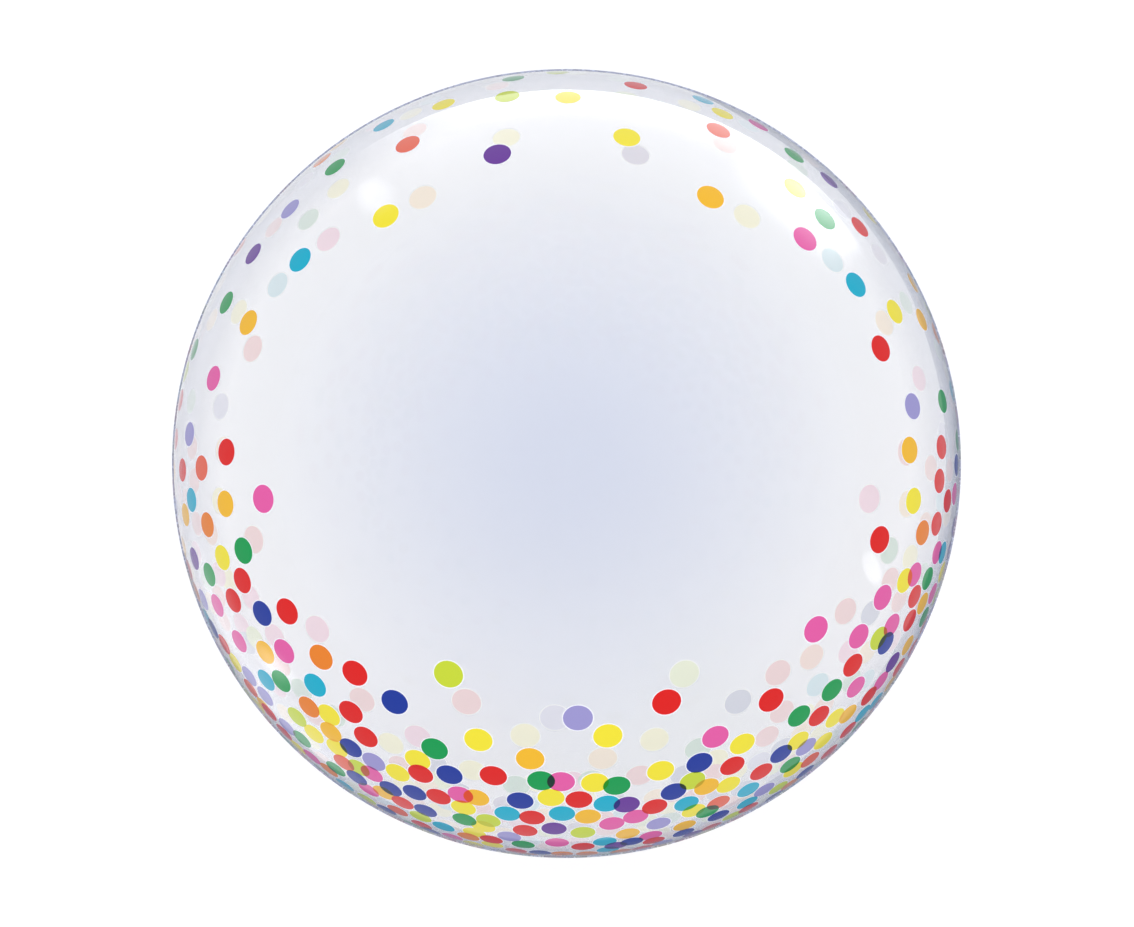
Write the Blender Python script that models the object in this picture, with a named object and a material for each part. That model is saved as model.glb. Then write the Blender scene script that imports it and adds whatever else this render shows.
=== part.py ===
"""A round balloon of clear film, lying on its back with its printed front face up.

Metres, +Z up. The origin is the middle of the small flat spot that the balloon rests on.
The filling tail is at the -Y end of the weld seam, which runs level round the widest part.
The balloon is sealed, so it is one solid. Its printed dots are ink and have no thickness here.
"""
import math

import bmesh
import bpy

# Driving dimensions, in metres
FILM_DIAMETER = 0.608
RESTING_FLAT_DIAMETER = 0.076
SEAM_HEIGHT = 0.0010
SEAM_WIDTH = 0.0016
TAIL_LENGTH = 0.060
TAIL_WIDTH_AT_SEAM = 0.034
TAIL_WIDTH_AT_END = 0.026
TAIL_THICKNESS = 0.0012
TAIL_CORNER_RADIUS = 0.005
TAIL_SET_IN = 0.0002

# Facets: steps round the balloon, up each half of it and round a corner of the tail
STEPS_ROUND = 80
STEPS_PER_HALF = 20
STEPS_PER_CORNER = 5

# The clear film's looks
FILM_COLOUR = (0.80, 0.84, 0.94)
FILM_OPACITY = 0.35
FILM_ROUGHNESS = 0.06

# Worked out from the driving dimensions
FILM_RADIUS = FILM_DIAMETER / 2
FLAT_RADIUS = RESTING_FLAT_DIAMETER / 2
SEAM_RADIUS = FILM_RADIUS + SEAM_HEIGHT
SEAM_LEVEL = math.sqrt(FILM_RADIUS**2 - FLAT_RADIUS**2)
TAIL_OUTER_Y = -(SEAM_RADIUS - TAIL_SET_IN)


def clear_scene():
    """Removes every object that the file opened with."""
    for thing in list(bpy.data.objects):
        bpy.data.objects.remove(thing, do_unlink=True)


def film_material():
    """The clear, faintly blue film."""
    material = bpy.data.materials.new("clear_film")
    material.use_nodes = True
    shader = material.node_tree.nodes["Principled BSDF"]
    shader.inputs["Base Color"].default_value = (*FILM_COLOUR, 1.0)
    shader.inputs["Metallic"].default_value = 0.0
    shader.inputs["Roughness"].default_value = FILM_ROUGHNESS
    shader.inputs["Alpha"].default_value = FILM_OPACITY
    return material


def film_arc(first, last):
    """Points (distance from the axis, height) on the film, between two angles above the seam's level."""
    points = []
    for step in range(STEPS_PER_HALF + 1):
        angle = first + (last - first) * step / STEPS_PER_HALF
        points.append(
            (FILM_RADIUS * math.cos(angle), SEAM_LEVEL + FILM_RADIUS * math.sin(angle))
        )
    return points


def envelope_profile():
    """Half of the upright section: flat spot, lower film, the seam's low ridge and upper film."""
    flat_edge = -math.acos(FLAT_RADIUS / FILM_RADIUS)
    seam_edge = math.asin(SEAM_WIDTH / 2 / FILM_RADIUS)
    profile = [(0.0, 0.0)]
    profile += film_arc(flat_edge, -seam_edge)
    profile.append((SEAM_RADIUS, SEAM_LEVEL - SEAM_WIDTH / 2))
    profile.append((SEAM_RADIUS, SEAM_LEVEL + SEAM_WIDTH / 2))
    profile += film_arc(seam_edge, math.pi / 2)
    return profile


def turned(profile):
    """A closed mesh made by turning a profile once round the Z axis."""
    shape = bmesh.new()
    points = [shape.verts.new((x, 0.0, z)) for x, z in profile]
    edges = [shape.edges.new(pair) for pair in zip(points, points[1:])]
    bmesh.ops.spin(
        shape,
        geom=points + edges,
        axis=(0.0, 0.0, 1.0),
        angle=math.tau,
        steps=STEPS_ROUND,
        use_merge=True,
    )
    bmesh.ops.remove_doubles(shape, verts=shape.verts, dist=0.00001)
    bmesh.ops.recalc_face_normals(shape, faces=shape.faces)
    return shape


def tail_outline():
    """The tail seen from the -Y side: it narrows downwards, and its lower corners are round."""
    top = SEAM_LEVEL
    bottom = SEAM_LEVEL - TAIL_LENGTH
    half_top = TAIL_WIDTH_AT_SEAM / 2
    half_end = TAIL_WIDTH_AT_END / 2
    lean = math.atan2(half_top - half_end, TAIL_LENGTH)
    radius = TAIL_CORNER_RADIUS
    # The corner's arc touches the level lower edge and the leaning side
    centre_x = half_end - radius * math.tan((math.pi / 2 - lean) / 2)
    centre_z = bottom + radius
    right = [(half_top, top)]
    for step in range(STEPS_PER_CORNER + 1):
        angle = -lean - (math.pi / 2 - lean) * step / STEPS_PER_CORNER
        right.append((centre_x + radius * math.cos(angle), centre_z + radius * math.sin(angle)))
    left = [(-x, z) for x, z in reversed(right)]
    return right + left


def tail_mesh():
    """The folded-down filling tail, a flat tab whose top is set into the seam."""
    shape = bmesh.new()
    points = [shape.verts.new((x, TAIL_OUTER_Y, z)) for x, z in tail_outline()]
    face = shape.faces.new(points)
    grown = bmesh.ops.extrude_face_region(shape, geom=[face])
    moved = [part for part in grown["geom"] if isinstance(part, bmesh.types.BMVert)]
    bmesh.ops.translate(shape, verts=moved, vec=(0.0, TAIL_THICKNESS, 0.0))
    bmesh.ops.recalc_face_normals(shape, faces=shape.faces)
    return shape


def add_object(name, shape, material):
    """Puts a bmesh into the scene as a named, smooth-shaded object."""
    mesh = bpy.data.meshes.new(name)
    shape.to_mesh(mesh)
    shape.free()
    mesh.materials.append(material)
    mesh.shade_smooth()
    mesh.set_sharp_from_angle(angle=math.radians(30))
    thing = bpy.data.objects.new(name, mesh)
    bpy.context.scene.collection.objects.link(thing)
    return thing


def build_balloon():
    """The envelope with its tail welded on, as one solid."""
    film = film_material()
    envelope = add_object("balloon_envelope", turned(envelope_profile()), film)
    tail = add_object("tail_shape", tail_mesh(), film)
    tail.hide_render = True
    tail.display_type = "WIRE"
    weld = envelope.modifiers.new("weld_on_tail", "BOOLEAN")
    weld.operation = "UNION"
    weld.solver = "EXACT"
    weld.object = tail


clear_scene()
build_balloon()
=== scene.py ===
"""A round balloon of clear film, printed with a drift of confetti dots, lying on its back on a white floor.

The film is a real thin-walled shell. Its print is laid out as a flat disc of artwork, as a printer would,
and then wrapped over the front half. The same artwork, mirrored left to right, covers the back half.
"""

import math
import random

import bmesh
import bpy
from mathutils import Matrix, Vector
from mathutils.geometry import delaunay_2d_cdt


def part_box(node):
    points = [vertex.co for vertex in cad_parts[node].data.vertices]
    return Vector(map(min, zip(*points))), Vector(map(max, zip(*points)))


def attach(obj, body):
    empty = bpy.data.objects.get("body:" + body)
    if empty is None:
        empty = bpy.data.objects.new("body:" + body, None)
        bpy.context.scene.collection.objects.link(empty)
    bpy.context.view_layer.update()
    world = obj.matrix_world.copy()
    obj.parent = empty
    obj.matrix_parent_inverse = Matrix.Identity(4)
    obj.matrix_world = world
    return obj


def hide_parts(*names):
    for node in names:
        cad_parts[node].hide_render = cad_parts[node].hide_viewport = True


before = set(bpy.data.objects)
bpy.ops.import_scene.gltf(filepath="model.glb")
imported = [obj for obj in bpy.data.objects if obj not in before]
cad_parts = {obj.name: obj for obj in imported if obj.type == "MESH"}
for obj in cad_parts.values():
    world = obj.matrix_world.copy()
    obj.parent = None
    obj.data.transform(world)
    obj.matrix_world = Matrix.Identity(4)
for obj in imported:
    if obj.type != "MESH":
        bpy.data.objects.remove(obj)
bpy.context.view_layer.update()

# Sizes taken from the frame, in metres
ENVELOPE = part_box("balloon_envelope")
SEAM_RADIUS = ENVELOPE[1][0]
SEAM_HEIGHT = 0.0010
FILM_RADIUS = SEAM_RADIUS - SEAM_HEIGHT
SEAM_LEVEL = ENVELOPE[1][2] - FILM_RADIUS
TAIL_TOP_WIDTH = 0.034
TAIL_END_WIDTH = 0.026
TAIL_LENGTH = 0.060

# The film
WALL = 0.0003
FLAT_BLEND = 0.0012
FLAT_NORMALS_BELOW = 0.006
MESH_STEP = 0.0090
CLEAR_OF_DOTS = 0.35
JOIN_NEARER_THAN = 0.00001
CUT_NEARER_THAN = 0.000002
SEAM_STEPS = 240

# The lip of the weld, as points out from the film and up from the seam, and its puckers: how high each wave
# is, how many go round and where it starts
LIP_STEPS = 1200
PUCKERS = [(0.00012, 131, 0.0), (0.00009, 173, 1.0)]
LIP_PROFILE = [
    (-0.0004, -0.0008), (0.0002, -0.0006), (0.0006, -0.0002), (0.00095, -0.00012), (0.00099, 0.0),
    (0.00095, 0.00012), (0.0006, 0.0002), (0.0002, 0.0006), (-0.0004, 0.0008), (-0.0006, 0.0),
]

# The filling tail: two layers, open along the neck, welded down the sides and across near the end. A gap is
# how far a layer lies in from the tail's radius, and a bulge how much further in it is along the neck
TAIL_RADIUS = SEAM_RADIUS - 0.0002
TAIL_CORNER = 0.005
TAIL_CORNER_LEFT = 0.0002
TAIL_ROWS = 60
TAIL_COLUMNS = 32
TAIL_OUTER_GAP = 0.00012
TAIL_OUTER_BULGE = -0.00010
TAIL_INNER_GAP = 0.0004
TAIL_INNER_BULGE = 0.0011
NECK_HALF_WIDTH = 0.62
NECK_CLOSES_OVER = 0.012
CREASE_DEPTH = 0.00010
CREASES_ACROSS = 9.0
CREASES_DOWN = 60
SIDE_WELD_FROM = 0.68
END_WELD = (0.78, 0.86)

# The photograph's frame, and the balloon's round outline in it, in pixels
PHOTO_WIDTH = 1134
PHOTO_HEIGHT = 927
OUTLINE_CENTRE = (566.5, 463.5)
OUTLINE_RADIUS = 394.5
METRES_PER_PIXEL = SEAM_RADIUS / OUTLINE_RADIUS

# The printed dots
DOT_DIAMETER = 0.0254
UNDERPRINT_MARGIN = 0.0009
DOT_STEPS = 24
INKS = {
    "red": (228, 46, 44),
    "coral": (236, 108, 82),
    "orange": (240, 136, 52),
    "gold": (250, 192, 56),
    "yellow": (249, 233, 64),
    "lime": (204, 220, 66),
    "green": (0, 160, 85),
    "teal": (0, 178, 202),
    "navy": (44, 66, 155),
    "purple": (110, 64, 152),
    "lavender": (162, 156, 206),
    "pink": (234, 100, 166),
}
UNDERPRINT = (246, 246, 250)
UNDERPRINT_FROM_BEHIND = (255, 254, 247)
INK_SEEN_FROM_BEHIND = 0.28
INK_DEPTH = 0.013
INK_LEAST, INK_MOST = 0.002, 0.97
INK_GLOSS = 0.25
INK_WAVES = 0.00001
INK_WAVE_SIZE = 0.004
INK_ROUGHNESS = (0.04, 0.10)

# A clear coat over the ink, whose tint darkens the ink a little face-on and more where it is seen at a slant:
# the deeper ink towards the rim is painted shade
LACQUER_IOR = 1.035
LACQUER_ROUGHNESS = 0.05
LACQUER_PAINTED_RIM_SHADE = (0.875, 0.882, 0.905)

# The clear film: its faint lavender tint face-on, darkened by a painted shade the more it is seen at a slant
# towards its rim, and its tint on light that passes one skin
FILM_IOR = 1.3
FILM_TINTS_AND_PAINTED_RIM_SHADE = [
    (0.0, (0.942, 0.943, 0.941)),
    (0.2, (0.932, 0.928, 0.920)),
    (0.4, (0.930, 0.929, 0.916)),
    (0.52, (0.940, 0.935, 0.928)),
    (0.66, (0.775, 0.780, 0.806)),
    (0.76, (0.70, 0.71, 0.76)),
    (0.83, (0.56, 0.58, 0.65)),
    (0.92, (0.32, 0.35, 0.44)),
    (1.0, (0.10, 0.12, 0.20)),
]
LIGHT_TINT = (0.8916, 0.9094, 0.9573)
FILM_WAVES = 0.000015
WAVE_DETAIL = 1.5
WAVE_SPAN = (0.3, 0.7)

# The film is tinted darker near the tail: its tint there, and how far that reaches
TAIL_TINT = (0.962, 0.968, 0.982)
TAIL_TINT_WHOLE = 0.19
TAIL_TINT_GONE = 0.36

# The welded film: its colour, how clear it is, and the ribs and gloss that the welding bar leaves
WELD_COLOUR = (0.50, 0.53, 0.66)
WELD_CLARITY = 0.5
WELD_RIBS = 0.00012
WELD_RIB_SIZE = 0.0012
WELD_ROUGHNESS = (0.15, 0.35)

# Dots of the front print, by ink: their middles in the photograph, in pixels across and down
FRONT_DOTS = {
    "red": [
        (636, 84), (861, 226), (882, 348), (943, 447), (941, 481), (949, 501), (938, 524), (881, 540),
        (854, 666), (772, 701), (667, 703), (225, 452), (181, 470), (241, 581), (232, 601), (286, 612),
        (354, 674), (350, 713), (365, 738), (420, 775), (493, 777), (820, 717), (655, 808), (733, 767),
        (284, 188), (174.5, 439), (177, 526), (188, 570), (223, 645), (219, 650), (268, 713), (283, 733),
        (438, 798), (402, 804), (532, 819), (525, 832), (421, 826), (491, 841), (516, 852), (654, 842),
        (749, 809), (712, 828), (643, 849), (916, 597), (911, 621), (914, 648), (900, 668), (870, 697),
        (849, 731), (830, 753), (863, 724), (762, 773), (579, 801), (583, 848),
    ],
    "coral": [
        (407, 143), (200, 468), (343, 764), (397, 812), (811, 761), (719, 804), (719, 129),
    ],
    "orange": [
        (321, 159), (320, 658), (308, 708), (206, 525), (924, 533), (328, 771), (468, 838), (957.6, 412),
        (562, 855),
    ],
    "gold": [
        (711, 196), (923, 319), (911, 450), (247, 322), (224, 504), (264, 653), (330, 733), (530, 760),
        (476, 799), (184, 515), (263, 707), (383, 794), (707, 788), (628, 835), (685, 827), (924, 604),
        (909, 646), (849, 715), (337, 144), (914, 282), (588, 818),
    ],
    "yellow": [
        (443, 103), (627, 136), (723, 112), (896, 311), (915, 501), (906, 581), (385, 215), (221, 558),
        (328, 716), (478, 741), (608, 737), (417, 761), (595, 784), (661, 772), (743, 745), (729, 786),
        (568, 96), (796, 187), (234, 663), (336, 749), (313, 735), (297, 748), (397, 774), (463, 809),
        (483, 828), (474, 834), (492, 846), (694, 812), (794, 771), (799, 742), (824, 742), (836, 719),
        (551, 799),
    ],
    "lime": [
        (448, 675), (880, 639), (693, 782), (507, 95), (557, 71), (296, 718), (358, 769), (488, 822),
        (420, 818), (366, 800), (733, 817), (779, 789), (583, 834),
    ],
    "green": [
        (513, 77), (795, 154), (944, 401), (334, 166), (225, 302), (193, 349), (242, 551), (280, 682),
        (434, 750), (541, 782), (617, 787), (833, 691), (800, 717), (826, 218), (208, 575), (301, 740),
        (335, 770), (464, 821), (523, 846), (791, 766), (708, 813), (929, 579),
    ],
    "teal": [
        (383, 124), (857, 284), (299, 259), (190, 500), (314, 686), (507, 815), (607, 805), (687, 805),
        (703.5, 98.5), (206, 619), (265, 681), (443, 828), (344, 786), (749, 791), (605, 843), (748, 804),
        (608, 851), (877, 702), (562, 815), (944, 553),
    ],
    "navy": [
        (887, 644), (261, 614), (394, 703), (350, 749), (449, 776), (520, 802), (700, 764), (674, 793),
        (175, 507), (212, 629), (356, 779), (390, 790), (414, 794), (425, 812), (386, 811), (430, 832),
        (540, 854), (719, 817), (632, 843), (684, 834), (775, 797), (782, 755), (806, 773), (958, 465),
    ],
    "purple": [
        (497, 153), (830, 179), (252, 253), (193, 559), (627, 806), (616, 847), (894, 663), (955, 527),
        (554, 830),
    ],
    "lavender": [
        (289, 208), (914, 406), (578, 719), (188, 434), (202, 600), (248, 677), (264, 697), (286, 728),
        (373, 763), (509, 838), (659, 825), (765, 791), (807, 748),
    ],
    "pink": [
        (759, 124), (806, 238), (916, 575), (884, 598), (860, 637), (817, 630), (857, 688), (212, 378),
        (262, 499), (283, 652), (460, 796), (561, 783), (716, 738), (636, 818), (216, 606), (238, 642),
        (371, 775), (368, 791), (452, 838), (311, 758), (612, 825), (651, 837), (934, 594), (893, 626),
        (882, 682), (956, 494), (938.5, 553), (557, 844),
    ],
}

# Soft panels: name, the pixel where the film mirrors its middle, half its length and half its width as
# mirrored in pixels, its lean in degrees, its distance from the film, its brightness and its even share
PANEL_STEPS = 24
PANELS = [
    ("panel_upper_left", (377, 197), 26, 26, 0.0, 0.30, 4.0, 0.3),
    ("panel_right", (872, 568), 22, 11, -72.0, 0.30, 4.5, 0.5),
    ("panel_lower_left", (272, 664), 40, 16, -45.0, 0.30, 4.6, 0.1),
]

# Curved screens along the outline: name, the span in degrees from 3 o'clock, the near and far edge as shares
# of the outline's radius, the distance from the film, the brightness, the shares of the width over which the
# near and the far edge fade, and the share of half the span over which the ends fade
SCREEN_STEPS_ALONG = 48
SCREEN_STEPS_ACROSS = 24
SCREENS = [
    ("screen_top", (30.0, 128.0), 0.66, 0.948, 0.30, 2.5, 0.6, 0.0, 0.35),
    ("screen_top_edge", (44.0, 114.0), 0.87, 0.948, 0.29, 4.4, 0.5, 0.0, 0.4),
    ("screen_upper_right", (34.0, 62.0), 0.79, 0.933, 0.27, 12.0, 0.8, 0.12, 0.9),
    ("screen_left", (188.0, 240.0), 0.90, 0.982, 0.22, 1.9, 0.4, 0.3, 0.5),
]

# The dark card on the floor round the right and the bottom: angles from 3 o'clock, its outer radius in metres
# there and how dense it is
CARD_LEVEL = 0.002
CARD_STEPS = 8
CARD_INNER_RADIUS = 0.306
CARD_OUTLINE = [
    (75, 0.33, 0.64), (60, 0.43, 0.66), (30, 0.475, 0.68), (15, 0.50, 0.86), (0, 0.515, 0.98),
    (-30, 0.54, 1.0), (-60, 0.54, 1.0), (-90, 0.53, 1.0), (-120, 0.49, 0.95), (-145, 0.44, 0.8),
    (-170, 0.36, 0.6),
]
CARD_COLOUR = (0.36, 0.39, 0.47)

# The floor, the light and the camera
FLOOR_LEVEL = -0.0004
FLOOR_HALF_SIZE = 6.0
FLOOR_WHITE = 0.94
FLOOR_ROUGHNESS = 0.9
SKY_STRENGTH = 1.3
CAMERA_HEIGHT = 3.0
CAMERA_REACH = 20.0

# The scattered dots fill the last stretch before the seam, from this many degrees off the front's middle: at
# the bottom, and beyond BOTTOM_REACH degrees from the bottom
SCATTER_START = 79.5
SCATTER_START_ABOVE = 84.0
BOTTOM_REACH = 75
SCATTER_SEED = 11
SCATTER_TRIES = 9000

# How far apart the scattered dots lie, in dots: up to so many degrees from the bottom, and growing from there
# to the values at the sides and at the top
DENSE_APART, DENSE_UNTIL = 0.90, 60
SIDE_APART, SIDE_AT = 1.25, 110
SPARSE_APART, SPARSE_AT = 3.6, 180


def linear(rgb):
    """A colour of 0 to 255 per channel as the shader's linear values."""
    return tuple(
        c / 255 / 12.92 if c <= 10 else ((c / 255 + 0.055) / 1.055) ** 2.4 for c in rgb
    )


def blended(first, second, share):
    """A colour this share of the way from the first to the second."""
    return tuple(a + (b - a) * share for a, b in zip(first, second))


# The flat artwork


def artwork_place(pixel):
    """Where a pixel of the photograph lies on the flat artwork, in metres from its middle."""
    across = (pixel[0] - OUTLINE_CENTRE[0]) / OUTLINE_RADIUS
    up = (OUTLINE_CENTRE[1] - pixel[1]) / OUTLINE_RADIUS
    share = math.hypot(across, up)
    reach = FILM_RADIUS * math.asin(min(share, 1.0))
    return (across / share * reach, up / share * reach)


def off_bottom(clock):
    """How many degrees round the outline an angle from 3 o'clock is from the bottom."""
    return abs((math.degrees(clock) + 90 + 180) % 360 - 180)


def spacing(clock):
    """How far apart scattered dots lie at an angle from 3 o'clock."""
    off = off_bottom(clock)
    if off < DENSE_UNTIL:
        return DENSE_APART * DOT_DIAMETER
    if off < SIDE_AT:
        step = (SIDE_APART - DENSE_APART) * (off - DENSE_UNTIL) / (SIDE_AT - DENSE_UNTIL)
        return (DENSE_APART + step) * DOT_DIAMETER
    step = (SPARSE_APART - SIDE_APART) * (off - SIDE_AT) / (SPARSE_AT - SIDE_AT)
    return (SIDE_APART + step) * DOT_DIAMETER


def scattered(placed):
    """Further dots, out to the seam, that keep their distance from the placed ones and from each other."""
    chance = random.Random(SCATTER_SEED)
    names = list(INKS)
    dots = list(placed)
    rim = FILM_RADIUS * math.pi / 2
    start = FILM_RADIUS * math.radians(SCATTER_START)
    start_above = FILM_RADIUS * math.radians(SCATTER_START_ABOVE)
    for _ in range(SCATTER_TRIES):
        clock = chance.uniform(0, math.tau)
        reach = math.sqrt(chance.uniform(start**2, rim**2))
        ink = chance.choice(names)
        if off_bottom(clock) > BOTTOM_REACH and reach < start_above:
            continue
        x, y = reach * math.cos(clock), reach * math.sin(clock)
        apart = spacing(clock)
        if all(math.hypot(x - u, y - v) > apart for _, u, v in dots):
            dots.append((ink, x, y))
    return dots


def front_print():
    """All the dots of one print as (ink, x, y) on the flat artwork."""
    placed = [(ink, *artwork_place(pixel)) for ink, pixels in FRONT_DOTS.items() for pixel in pixels]
    return scattered(placed)


def circle(x, y, radius, steps):
    """Points round a circle, anticlockwise."""
    return [
        (x + radius * math.cos(math.tau * i / steps), y + radius * math.sin(math.tau * i / steps))
        for i in range(steps)
    ]


def film_grid(dots):
    """Points spread evenly over the film, kept off the dots' outlines."""
    turn = MESH_STEP / FILM_RADIUS
    edge = DOT_DIAMETER / 2 + UNDERPRINT_MARGIN / 2
    clear = MESH_STEP * CLEAR_OF_DOTS
    points = [(0.0, 0.0)]
    rings = int(math.pi / 2 / turn)
    for ring in range(1, rings):
        angle = ring * math.pi / 2 / rings
        count = max(6, round(math.tau * math.sin(angle) / turn))
        for i in range(count):
            clock = math.tau * (i + 0.5 * (ring % 2)) / count
            x = FILM_RADIUS * angle * math.cos(clock)
            y = FILM_RADIUS * angle * math.sin(clock)
            if all(abs(math.hypot(x - u, y - v) - edge) > clear for _, u, v in dots):
                points.append((x, y))
    return points


def cut_artwork(dots):
    """The flat artwork as points and triangles, each with the inks over it and whether it is underprinted."""
    outline = circle(0.0, 0.0, FILM_RADIUS * math.pi / 2, SEAM_STEPS)
    points = list(outline)
    faces = [list(range(SEAM_STEPS))]
    for _, x, y in dots:
        for radius in (DOT_DIAMETER / 2 + UNDERPRINT_MARGIN, DOT_DIAMETER / 2):
            first = len(points)
            points += circle(x, y, radius, DOT_STEPS)
            faces.append(list(range(first, first + DOT_STEPS)))
    points += film_grid(dots)
    made, _, triangles, _, _, origins = delaunay_2d_cdt(
        [Vector(p) for p in points], [], faces, 1, CUT_NEARER_THAN, True
    )
    cut = []
    for triangle, over in zip(triangles, origins):
        if 0 not in over:
            continue
        inked = sorted((face // 2 - 1) for face in over if face and face % 2 == 0)
        names = tuple(sorted({dots[i][0] for i in inked}))[:2]
        cut.append((tuple(triangle), names, len(over) > 1))
    return [tuple(p) for p in made], cut


# The film's shape


def rested(height, lowest):
    """A height on the round film, eased into the small flat spot where the balloon rests."""
    above = height - lowest
    if above > FLAT_BLEND:
        return height
    if above < -FLAT_BLEND:
        return lowest
    return lowest + (above + FLAT_BLEND) ** 2 / (4 * FLAT_BLEND)


def wrapped(point, radius, front):
    """A point of the flat artwork wrapped on the front or the back half of the film."""
    reach = math.hypot(*point)
    angle = reach / FILM_RADIUS
    out = radius * math.sin(angle) / reach if reach else 0.0
    x, y, rise = point[0] * out, point[1] * out, radius * math.cos(angle)
    if front:
        return (x, y, SEAM_LEVEL + rise)
    return (-x, y, rested(SEAM_LEVEL - rise, FILM_RADIUS - radius))


def new_piece(name, shape, materials):
    """A smooth-shaded piece made from a bmesh, which moves with the balloon."""
    mesh = bpy.data.meshes.new(name)
    shape.to_mesh(mesh)
    shape.free()
    for material in materials:
        mesh.materials.append(material)
    mesh.shade_smooth()
    piece = bpy.data.objects.new(name, mesh)
    bpy.context.scene.collection.objects.link(piece)
    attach(piece, "root")
    return piece


def round_normals(mesh):
    """Gives the film the exact normals of a ball, so that its cut edges don't show in the gloss."""
    middle = Vector((0.0, 0.0, SEAM_LEVEL))
    normals = []
    for corner in mesh.vertices:
        out = (corner.co - middle).normalized()
        inner = (corner.co - middle).length < FILM_RADIUS - WALL / 2
        flat = corner.co.z < FLAT_NORMALS_BELOW
        normals.append(corner.normal if flat else -out if inner else out)
    mesh.normals_split_custom_set_from_vertices(normals)


def balloon_film(wardrobe):
    """The printed film: an outer and an inner skin over both halves, each triangle with its own finish."""
    points, cut = cut_artwork(front_print())
    shape = bmesh.new()
    slots = {}
    for front in (True, False):
        for inside in (False, True):
            radius = FILM_RADIUS - WALL if inside else FILM_RADIUS
            corners = [shape.verts.new(wrapped(p, radius, front)) for p in points]
            for triangle, inks, underprinted in cut:
                order = triangle[::-1] if inside else triangle
                face = shape.faces.new([corners[i] for i in order])
                look = wardrobe.look(inks, underprinted, inside)
                face.material_index = slots.setdefault(look, len(slots))
    bmesh.ops.remove_doubles(shape, verts=shape.verts, dist=JOIN_NEARER_THAN)
    loose = [v for v in shape.verts if not v.link_faces]
    bmesh.ops.delete(shape, geom=loose, context="VERTS")
    piece = new_piece("balloon_film", shape, [wardrobe.material(look) for look in slots])
    round_normals(piece.data)
    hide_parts("balloon_envelope")


def weld_seam(material):
    """The fine lip of welded film all round, slightly puckered."""
    shape = bmesh.new()
    loops = []
    for i in range(LIP_STEPS):
        clock = math.tau * i / LIP_STEPS
        pucker = sum(height * math.sin(count * clock + start) for height, count, start in PUCKERS)
        loop = []
        for out, rise in LIP_PROFILE:
            radius = FILM_RADIUS + out
            level = SEAM_LEVEL + rise + pucker * max(out, 0.0) / SEAM_HEIGHT
            loop.append(shape.verts.new((radius * math.cos(clock), radius * math.sin(clock), level)))
        loops.append(loop)
    for here, there in zip(loops, loops[1:] + loops[:1]):
        for j in range(len(LIP_PROFILE)):
            k = (j + 1) % len(LIP_PROFILE)
            shape.faces.new((here[j], there[j], there[k], here[k]))
    bmesh.ops.recalc_face_normals(shape, faces=shape.faces)
    new_piece("weld_seam", shape, [material])


def tail_half_width(down):
    """Half the tail's width this far down from the seam, with the rounded corners at its end."""
    half = (TAIL_TOP_WIDTH + (TAIL_END_WIDTH - TAIL_TOP_WIDTH) * down / TAIL_LENGTH) / 2
    into_corner = down - (TAIL_LENGTH - TAIL_CORNER)
    if into_corner > 0:
        half -= TAIL_CORNER - math.sqrt(max(TAIL_CORNER**2 - into_corner**2, 0.0))
    return half


def filling_tail(film, weld):
    """The flat tail of two film layers, welded down its sides and across its end, open along its neck."""
    shape = bmesh.new()
    sides = []
    for inside in (False, True):
        rows = []
        for row in range(TAIL_ROWS + 1):
            down = TAIL_LENGTH * row / TAIL_ROWS
            half = tail_half_width(min(down, TAIL_LENGTH - TAIL_CORNER_LEFT))
            corners = []
            for column in range(TAIL_COLUMNS + 1):
                share = 2 * column / TAIL_COLUMNS - 1
                x = half * share
                neck = max(0.0, 1 - (share / NECK_HALF_WIDTH) ** 2)
                neck *= min(1.0, (TAIL_LENGTH - down) / NECK_CLOSES_OVER)
                crease = CREASE_DEPTH * math.sin(CREASES_ACROSS * share + CREASES_DOWN * down) * neck
                y = -math.sqrt(TAIL_RADIUS**2 - x * x)
                if inside:
                    y += TAIL_INNER_GAP + TAIL_INNER_BULGE * neck + crease
                else:
                    y += TAIL_OUTER_GAP + TAIL_OUTER_BULGE * neck + crease
                corners.append(shape.verts.new((x, y, SEAM_LEVEL - down)))
            rows.append(corners)
        sides.append(rows)
    for rows in sides:
        for row in range(TAIL_ROWS):
            for column in range(TAIL_COLUMNS):
                face = shape.faces.new((
                    rows[row][column], rows[row][column + 1],
                    rows[row + 1][column + 1], rows[row + 1][column],
                ))
                side_weld = abs(2 * (column + 0.5) / TAIL_COLUMNS - 1) > SIDE_WELD_FROM
                end_weld = TAIL_ROWS * END_WELD[0] < row < TAIL_ROWS * END_WELD[1]
                face.material_index = 1 if side_weld or end_weld else 0
    edge = [(row, 0) for row in range(TAIL_ROWS)]
    edge += [(TAIL_ROWS, column) for column in range(TAIL_COLUMNS)]
    edge += [(row, TAIL_COLUMNS) for row in range(TAIL_ROWS, 0, -1)]
    edge += [(0, column) for column in range(TAIL_COLUMNS, 0, -1)]
    for here, there in zip(edge, edge[1:] + edge[:1]):
        face = shape.faces.new((
            sides[0][here[0]][here[1]], sides[0][there[0]][there[1]],
            sides[1][there[0]][there[1]], sides[1][here[0]][here[1]],
        ))
        face.material_index = 1
    bmesh.ops.recalc_face_normals(shape, faces=shape.faces)
    new_piece("filling_tail", shape, [film, weld])


# Materials


def principled(name):
    """A new material, its node tree and its shader."""
    material = bpy.data.materials.new(name)
    material.use_nodes = True
    return material, material.node_tree, material.node_tree.nodes["Principled BSDF"]


def surface_group(name, sockets_in, sockets_out):
    """An empty shader node group with these named inputs and outputs, and its two end nodes."""
    group = bpy.data.node_groups.new(name, "ShaderNodeTree")
    for socket, value in sockets_in.items():
        made = group.interface.new_socket(socket, in_out="INPUT", socket_type="NodeSocketFloat")
        made.default_value = value
    for socket in sockets_out:
        group.interface.new_socket(socket, in_out="OUTPUT", socket_type="NodeSocketFloat")
    return group, group.nodes.new("NodeGroupInput"), group.nodes.new("NodeGroupOutput")


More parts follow.
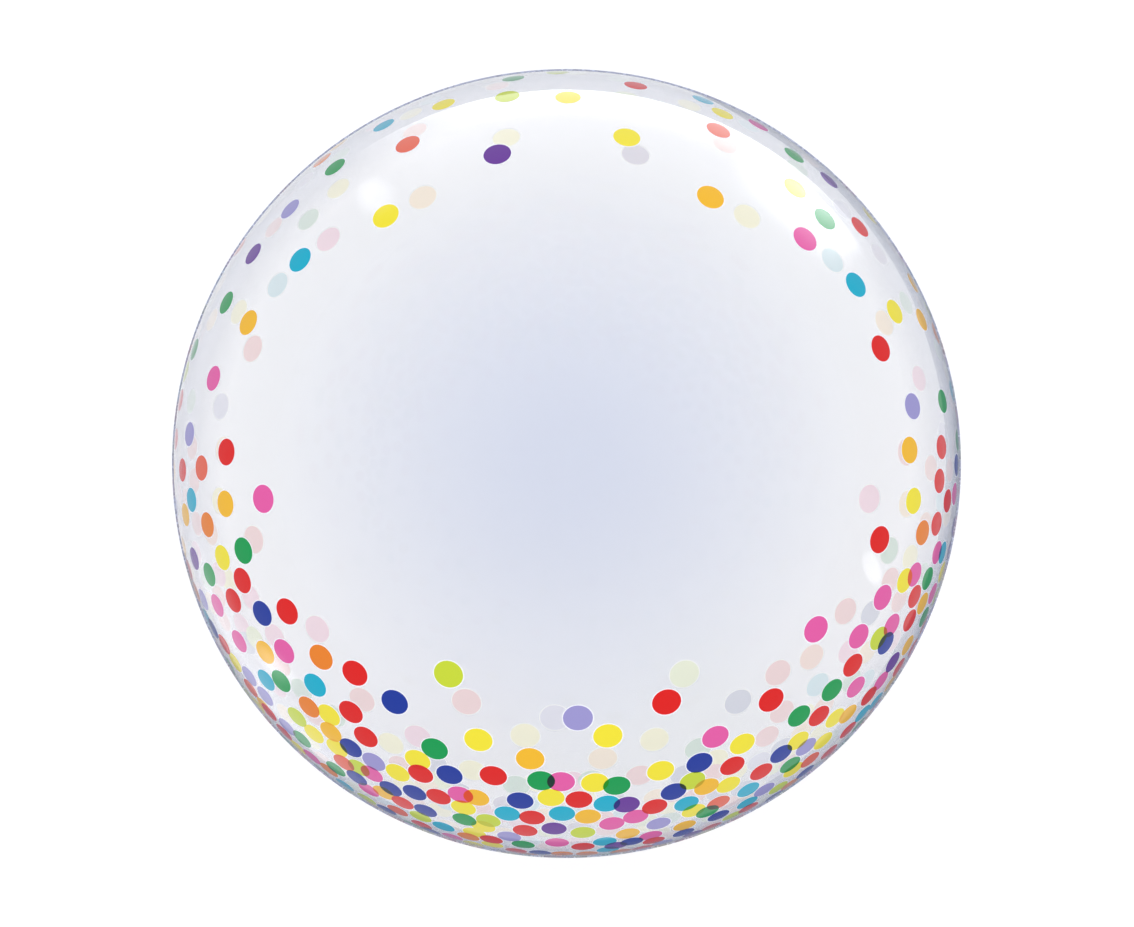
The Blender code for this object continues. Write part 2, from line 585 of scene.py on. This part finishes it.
def ripple_group():
    """Uneven gloss and a faint waviness, as stretched film has."""
    group, given, result = surface_group(
        "film_ripple",
        {"Wave Size": 0.05, "Speck Size": 0.004, "Lowest Roughness": 0.004, "Highest Roughness": 0.02},
        ["Roughness", "Height"],
    )
    nodes, links = group.nodes, group.links
    place = nodes.new("ShaderNodeTexCoord")
    waves = []
    for size in ("Wave Size", "Speck Size"):
        per_metre = nodes.new("ShaderNodeMath")
        per_metre.operation = "DIVIDE"
        per_metre.inputs[0].default_value = 1.0
        links.new(given.outputs[size], per_metre.inputs[1])
        wave = nodes.new("ShaderNodeTexNoise")
        wave.inputs["Detail"].default_value = WAVE_DETAIL
        links.new(place.outputs["Object"], wave.inputs["Vector"])
        links.new(per_metre.outputs[0], wave.inputs["Scale"])
        waves.append(wave)
    gloss = nodes.new("ShaderNodeMapRange")
    gloss.inputs["From Min"].default_value = WAVE_SPAN[0]
    gloss.inputs["From Max"].default_value = WAVE_SPAN[1]
    links.new(waves[1].outputs["Fac"], gloss.inputs["Value"])
    links.new(given.outputs["Lowest Roughness"], gloss.inputs["To Min"])
    links.new(given.outputs["Highest Roughness"], gloss.inputs["To Max"])
    links.new(gloss.outputs["Result"], result.inputs["Roughness"])
    links.new(waves[0].outputs["Fac"], result.inputs["Height"])
    return group


def rippled(tree, shader, distance, wave_size=None, roughness=None):
    """Gives a shader uneven gloss and waviness of this depth in metres, from the shared group."""
    ripple = tree.nodes.new("ShaderNodeGroup")
    ripple.node_tree = RIPPLE
    if wave_size:
        ripple.inputs["Wave Size"].default_value = wave_size
    if roughness:
        ripple.inputs["Lowest Roughness"].default_value = roughness[0]
        ripple.inputs["Highest Roughness"].default_value = roughness[1]
    bump = tree.nodes.new("ShaderNodeBump")
    bump.inputs["Distance"].default_value = distance
    tree.links.new(ripple.outputs["Roughness"], shader.inputs["Roughness"])
    tree.links.new(ripple.outputs["Height"], bump.inputs["Height"])
    tree.links.new(bump.outputs["Normal"], shader.inputs["Normal"])


def tail_tint_group():
    """How much darker the film is tinted: 1 close to where the tail leaves the seam, 0 far from it."""
    group, given, result = surface_group("film_near_tail", {"Whole": 0.1, "Gone": 0.3}, ["Share"])
    nodes, links = group.nodes, group.links
    place = nodes.new("ShaderNodeTexCoord")
    distance = nodes.new("ShaderNodeVectorMath")
    distance.operation = "DISTANCE"
    distance.inputs[1].default_value = (0.0, -SEAM_RADIUS, SEAM_LEVEL)
    share = nodes.new("ShaderNodeMapRange")
    share.interpolation_type = "SMOOTHSTEP"
    share.inputs["To Min"].default_value = 1.0
    share.inputs["To Max"].default_value = 0.0
    links.new(place.outputs["Object"], distance.inputs[0])
    links.new(distance.outputs["Value"], share.inputs["Value"])
    links.new(given.outputs["Whole"], share.inputs["From Min"])
    links.new(given.outputs["Gone"], share.inputs["From Max"])
    links.new(share.outputs["Result"], result.inputs["Share"])
    return group


def film_material(name, rippling):
    """Thin clear film, faintly lavender, darkened by a painted shade where it is seen at a slant, towards its
    rim.

    Light between a matt surface and the sky passes straight through it with the film's tint, which keeps the
    floor's shade and the inner print clean.
    """
    material, tree, shader = principled(name)
    nodes, links = tree.nodes, tree.links
    shader.inputs["Roughness"].default_value = 0.0
    shader.inputs["IOR"].default_value = FILM_IOR
    shader.inputs["Transmission Weight"].default_value = 1.0
    if rippling:
        rippled(tree, shader, FILM_WAVES)
    # The ramp sets the film's colour by slant: a faint real tint face-on, painted shade towards the rim
    slant = nodes.new("ShaderNodeLayerWeight")
    slant.inputs["Blend"].default_value = 0.5
    depth = nodes.new("ShaderNodeValToRGB")
    for i, (position, colour) in enumerate(FILM_TINTS_AND_PAINTED_RIM_SHADE):
        stop = depth.color_ramp.elements[i] if i < 2 else depth.color_ramp.elements.new(position)
        stop.position = position
        stop.color = (*colour, 1.0)
    links.new(slant.outputs["Facing"], depth.inputs["Fac"])
    near_tail = nodes.new("ShaderNodeGroup")
    near_tail.node_tree = TAIL_TINTING
    near_tail.inputs["Whole"].default_value = TAIL_TINT_WHOLE
    near_tail.inputs["Gone"].default_value = TAIL_TINT_GONE
    tail_darkening = nodes.new("ShaderNodeMixRGB")
    tail_darkening.blend_type = "MULTIPLY"
    tail_darkening.inputs["Color2"].default_value = (*TAIL_TINT, 1.0)
    links.new(near_tail.outputs["Share"], tail_darkening.inputs["Fac"])
    links.new(depth.outputs["Color"], tail_darkening.inputs["Color1"])
    links.new(tail_darkening.outputs["Color"], shader.inputs["Base Color"])
    passing = nodes.new("ShaderNodeBsdfTransparent")
    passing.inputs["Color"].default_value = (*LIGHT_TINT, 1.0)
    ray = nodes.new("ShaderNodeLightPath")
    seen = shader
    for kind in ("Is Diffuse Ray", "Is Shadow Ray"):
        mix = nodes.new("ShaderNodeMixShader")
        links.new(ray.outputs[kind], mix.inputs["Fac"])
        links.new(seen.outputs[0], mix.inputs[1])
        links.new(passing.outputs[0], mix.inputs[2])
        seen = mix
    links.new(seen.outputs[0], nodes["Material Output"].inputs["Surface"])
    return material


def welded_film():
    """Two layers of film melted into one: deeper in colour, and ribbed by the welding bar."""
    material, tree, shader = principled("welded_film")
    shader.inputs["Base Color"].default_value = (*WELD_COLOUR, 1.0)
    shader.inputs["IOR"].default_value = FILM_IOR
    shader.inputs["Transmission Weight"].default_value = WELD_CLARITY
    rippled(tree, shader, WELD_RIBS, WELD_RIB_SIZE, WELD_ROUGHNESS)
    return material


class Wardrobe:
    """The finishes of the printed film, each made when it is first asked for."""

    def __init__(self):
        self.made = {
            ("outer_skin",): film_material("clear_film", rippling=True),
            ("inner_skin",): film_material("clear_film_inside", rippling=False),
        }

    def look(self, inks, underprinted, inside):
        """The finish of a triangle by the inks over it, the white under them and the side it is on.

        From inside, two inks that overlap show as the first alone.
        """
        if not underprinted:
            return ("inner_skin",) if inside else ("outer_skin",)
        return ("pale", *inks[:1]) if inside else ("ink", *inks)

    def material(self, look):
        """The material of a finish."""
        if look not in self.made:
            self.made[look] = self.ink(look)
        return self.made[look]

    def ink(self, look):
        """Ink over a white underprint, or the same seen through the film from inside."""
        side, *inks = look
        ground = linear(UNDERPRINT if side == "ink" else UNDERPRINT_FROM_BEHIND)
        colour = ground
        for ink in inks:
            share = linear(INKS[ink])
            colour = tuple(c * s for c, s in zip(colour, share))
        if side == "pale":
            colour = blended(ground, colour, INK_SEEN_FROM_BEHIND)
        material, tree, shader = principled("_".join([side, *(inks or ["underprint"])]))
        if side == "ink":
            colour = tuple(min(max(c - INK_DEPTH, INK_LEAST), INK_MOST) for c in colour)
            # The coat's tint is a painted shade that deepens the ink towards the rim
            shader.inputs["Coat Weight"].default_value = 1.0
            shader.inputs["Coat Roughness"].default_value = LACQUER_ROUGHNESS
            shader.inputs["Coat IOR"].default_value = LACQUER_IOR
            shader.inputs["Coat Tint"].default_value = (*LACQUER_PAINTED_RIM_SHADE, 1.0)
        shader.inputs["Base Color"].default_value = (*colour, 1.0)
        shader.inputs["IOR"].default_value = FILM_IOR
        shader.inputs["Specular IOR Level"].default_value = INK_GLOSS
        rippled(tree, shader, INK_WAVES, INK_WAVE_SIZE, INK_ROUGHNESS)
        return material


# The studio


def studio_floor():
    """A plain white floor, just under the resting spot."""
    shape = bmesh.new()
    bmesh.ops.create_grid(shape, x_segments=1, y_segments=1, size=FLOOR_HALF_SIZE)
    bmesh.ops.translate(shape, verts=shape.verts, vec=(0.0, 0.0, FLOOR_LEVEL))
    mesh = bpy.data.meshes.new("floor")
    shape.to_mesh(mesh)
    shape.free()
    material, _, shader = principled("floor_white")
    shader.inputs["Base Color"].default_value = (FLOOR_WHITE, FLOOR_WHITE, FLOOR_WHITE, 1.0)
    shader.inputs["Roughness"].default_value = FLOOR_ROUGHNESS
    mesh.materials.append(material)
    floor = bpy.data.objects.new("floor", mesh)
    bpy.context.scene.collection.objects.link(floor)


def studio_light():
    """Soft light from all round."""
    world = bpy.data.worlds.new("soft_dome")
    world.use_nodes = True
    sky = world.node_tree.nodes["Background"]
    sky.inputs["Color"].default_value = (1.0, 1.0, 1.0, 1.0)
    sky.inputs["Strength"].default_value = SKY_STRENGTH
    world.cycles.sampling_method = "NONE"
    bpy.context.scene.world = world


def mirrored(pixel, distance):
    """The point this far out along the ray that the film mirrors at a pixel."""
    x = (pixel[0] - OUTLINE_CENTRE[0]) * METRES_PER_PIXEL
    y = (OUTLINE_CENTRE[1] - pixel[1]) * METRES_PER_PIXEL
    normal = Vector((x, y, math.sqrt(FILM_RADIUS**2 - x * x - y * y))) / FILM_RADIUS
    down = Vector((0.0, 0.0, -1.0))
    ray = down - 2 * down.dot(normal) * normal
    return Vector((0.0, 0.0, SEAM_LEVEL)) + normal * FILM_RADIUS + ray * distance


def only_mirrored(thing):
    """Keeps a panel or card out of sight and out of the shade, so that only gloss shows it."""
    thing.visible_camera = False
    thing.visible_diffuse = False
    thing.visible_transmission = False
    thing.visible_shadow = False


def glowing_sheet(name, rows, colour, fades):
    """A sheet of light or dark for the film to mirror, from rows of points, with a fade for each point."""
    shape = bmesh.new()
    fade_layer = shape.verts.layers.float.new("fade")
    grid = []
    for i, row in enumerate(rows):
        corners = []
        for j, point in enumerate(row):
            corner = shape.verts.new(point)
            corner[fade_layer] = fades[i][j]
            corners.append(corner)
        grid.append(corners)
    for here, there in zip(grid, grid[1:]):
        for j in range(len(here) - 1):
            shape.faces.new((here[j], here[j + 1], there[j + 1], there[j]))
    mesh = bpy.data.meshes.new(name)
    shape.to_mesh(mesh)
    shape.free()
    material = bpy.data.materials.new(name)
    material.use_nodes = True
    material.cycles.emission_sampling = "NONE"
    nodes, links = material.node_tree.nodes, material.node_tree.links
    nodes.remove(nodes["Principled BSDF"])
    glow = nodes.new("ShaderNodeEmission")
    glow.inputs["Color"].default_value = (*colour, 1.0)
    clear = nodes.new("ShaderNodeBsdfTransparent")
    fade = nodes.new("ShaderNodeAttribute")
    fade.attribute_name = "fade"
    mix = nodes.new("ShaderNodeMixShader")
    links.new(fade.outputs["Fac"], mix.inputs["Fac"])
    links.new(clear.outputs[0], mix.inputs[1])
    links.new(glow.outputs[0], mix.inputs[2])
    links.new(mix.outputs[0], nodes["Material Output"].inputs["Surface"])
    mesh.materials.append(material)
    sheet = bpy.data.objects.new(name, mesh)
    bpy.context.scene.collection.objects.link(sheet)
    only_mirrored(sheet)


def eased(share):
    """A smooth step from 0 to 1."""
    share = min(max(share, 0.0), 1.0)
    return share * share * (3 - 2 * share)


def soft_panel(name, pixel, half_length, half_width, lean, distance, brightness, even):
    """A soft-edged panel that the film mirrors as an oval highlight."""
    along = (math.cos(math.radians(lean)), -math.sin(math.radians(lean)))
    rows, fades = [], []
    for i in range(PANEL_STEPS + 1):
        v = 2 * i / PANEL_STEPS - 1
        row, fade = [], []
        for j in range(PANEL_STEPS + 1):
            u = 2 * j / PANEL_STEPS - 1
            x = pixel[0] + u * half_length * along[0] - v * half_width * along[1]
            y = pixel[1] + u * half_length * along[1] + v * half_width * along[0]
            row.append(mirrored((x, y), distance))
            fade.append(eased((1 - math.hypot(u, v)) / (1 - even)))
        rows.append(row)
        fades.append(fade)
    glowing_sheet(name, rows, (brightness,) * 3, fades)


def curved_screen(name, span, near, far, distance, brightness, near_fade, far_fade, end_fade):
    """A screen that the film mirrors as a bright band along the outline, with edges as soft as is asked."""
    rows, fades = [], []
    first, last = span
    middle, half = (first + last) / 2, (last - first) / 2
    for i in range(SCREEN_STEPS_ALONG + 1):
        clock = first + (last - first) * i / SCREEN_STEPS_ALONG
        off = abs(clock - middle) / half
        row, fade = [], []
        for j in range(SCREEN_STEPS_ACROSS + 1):
            outward = j / SCREEN_STEPS_ACROSS
            share = near + (far - near) * j / SCREEN_STEPS_ACROSS
            x = OUTLINE_CENTRE[0] + OUTLINE_RADIUS * share * math.cos(math.radians(clock))
            y = OUTLINE_CENTRE[1] - OUTLINE_RADIUS * share * math.sin(math.radians(clock))
            row.append(mirrored((x, y), distance))
            far_edge = eased((1 - outward) / far_fade) if far_fade else 1.0
            fade.append(eased(outward / near_fade) * far_edge * eased((1 - off) / end_fade))
        rows.append(row)
        fades.append(fade)
    glowing_sheet(name, rows, (brightness,) * 3, fades)


def dark_card():
    """A dark card on the floor, that the film mirrors as a deeper rim on the right and the bottom."""
    rows, fades = [], []
    for (clock, outer, dense), (next_clock, next_outer, next_dense) in zip(CARD_OUTLINE, CARD_OUTLINE[1:]):
        for step in range(CARD_STEPS):
            angle = math.radians(clock + (next_clock - clock) * step / CARD_STEPS)
            radius = outer + (next_outer - outer) * eased(step / CARD_STEPS)
            rows.append([
                (r * math.cos(angle), r * math.sin(angle), CARD_LEVEL) for r in (CARD_INNER_RADIUS, radius)
            ])
            fades.append([dense + (next_dense - dense) * step / CARD_STEPS] * 2)
    glowing_sheet("dark_card", rows, CARD_COLOUR, fades)


def camera_above():
    """The camera looks straight down at the printed front, without perspective, framed as the photograph."""
    lens = bpy.data.cameras.new("camera")
    lens.type = "ORTHO"
    lens.ortho_scale = METRES_PER_PIXEL * PHOTO_WIDTH
    lens.clip_end = CAMERA_REACH
    camera = bpy.data.objects.new("camera", lens)
    camera.location = (
        (PHOTO_WIDTH / 2 - OUTLINE_CENTRE[0]) * METRES_PER_PIXEL,
        (OUTLINE_CENTRE[1] - PHOTO_HEIGHT / 2) * METRES_PER_PIXEL,
        CAMERA_HEIGHT,
    )
    bpy.context.scene.collection.objects.link(camera)
    bpy.context.scene.camera = camera


bpy.context.scene.view_settings.view_transform = "Standard"
camera_above()
studio_floor()
studio_light()
for panel in PANELS:
    soft_panel(*panel)
for screen in SCREENS:
    curved_screen(*screen)
dark_card()
RIPPLE = ripple_group()
TAIL_TINTING = tail_tint_group()
wardrobe = Wardrobe()
balloon_film(wardrobe)
welded = welded_film()
weld_seam(welded)
filling_tail(wardrobe.material(("outer_skin",)), welded)
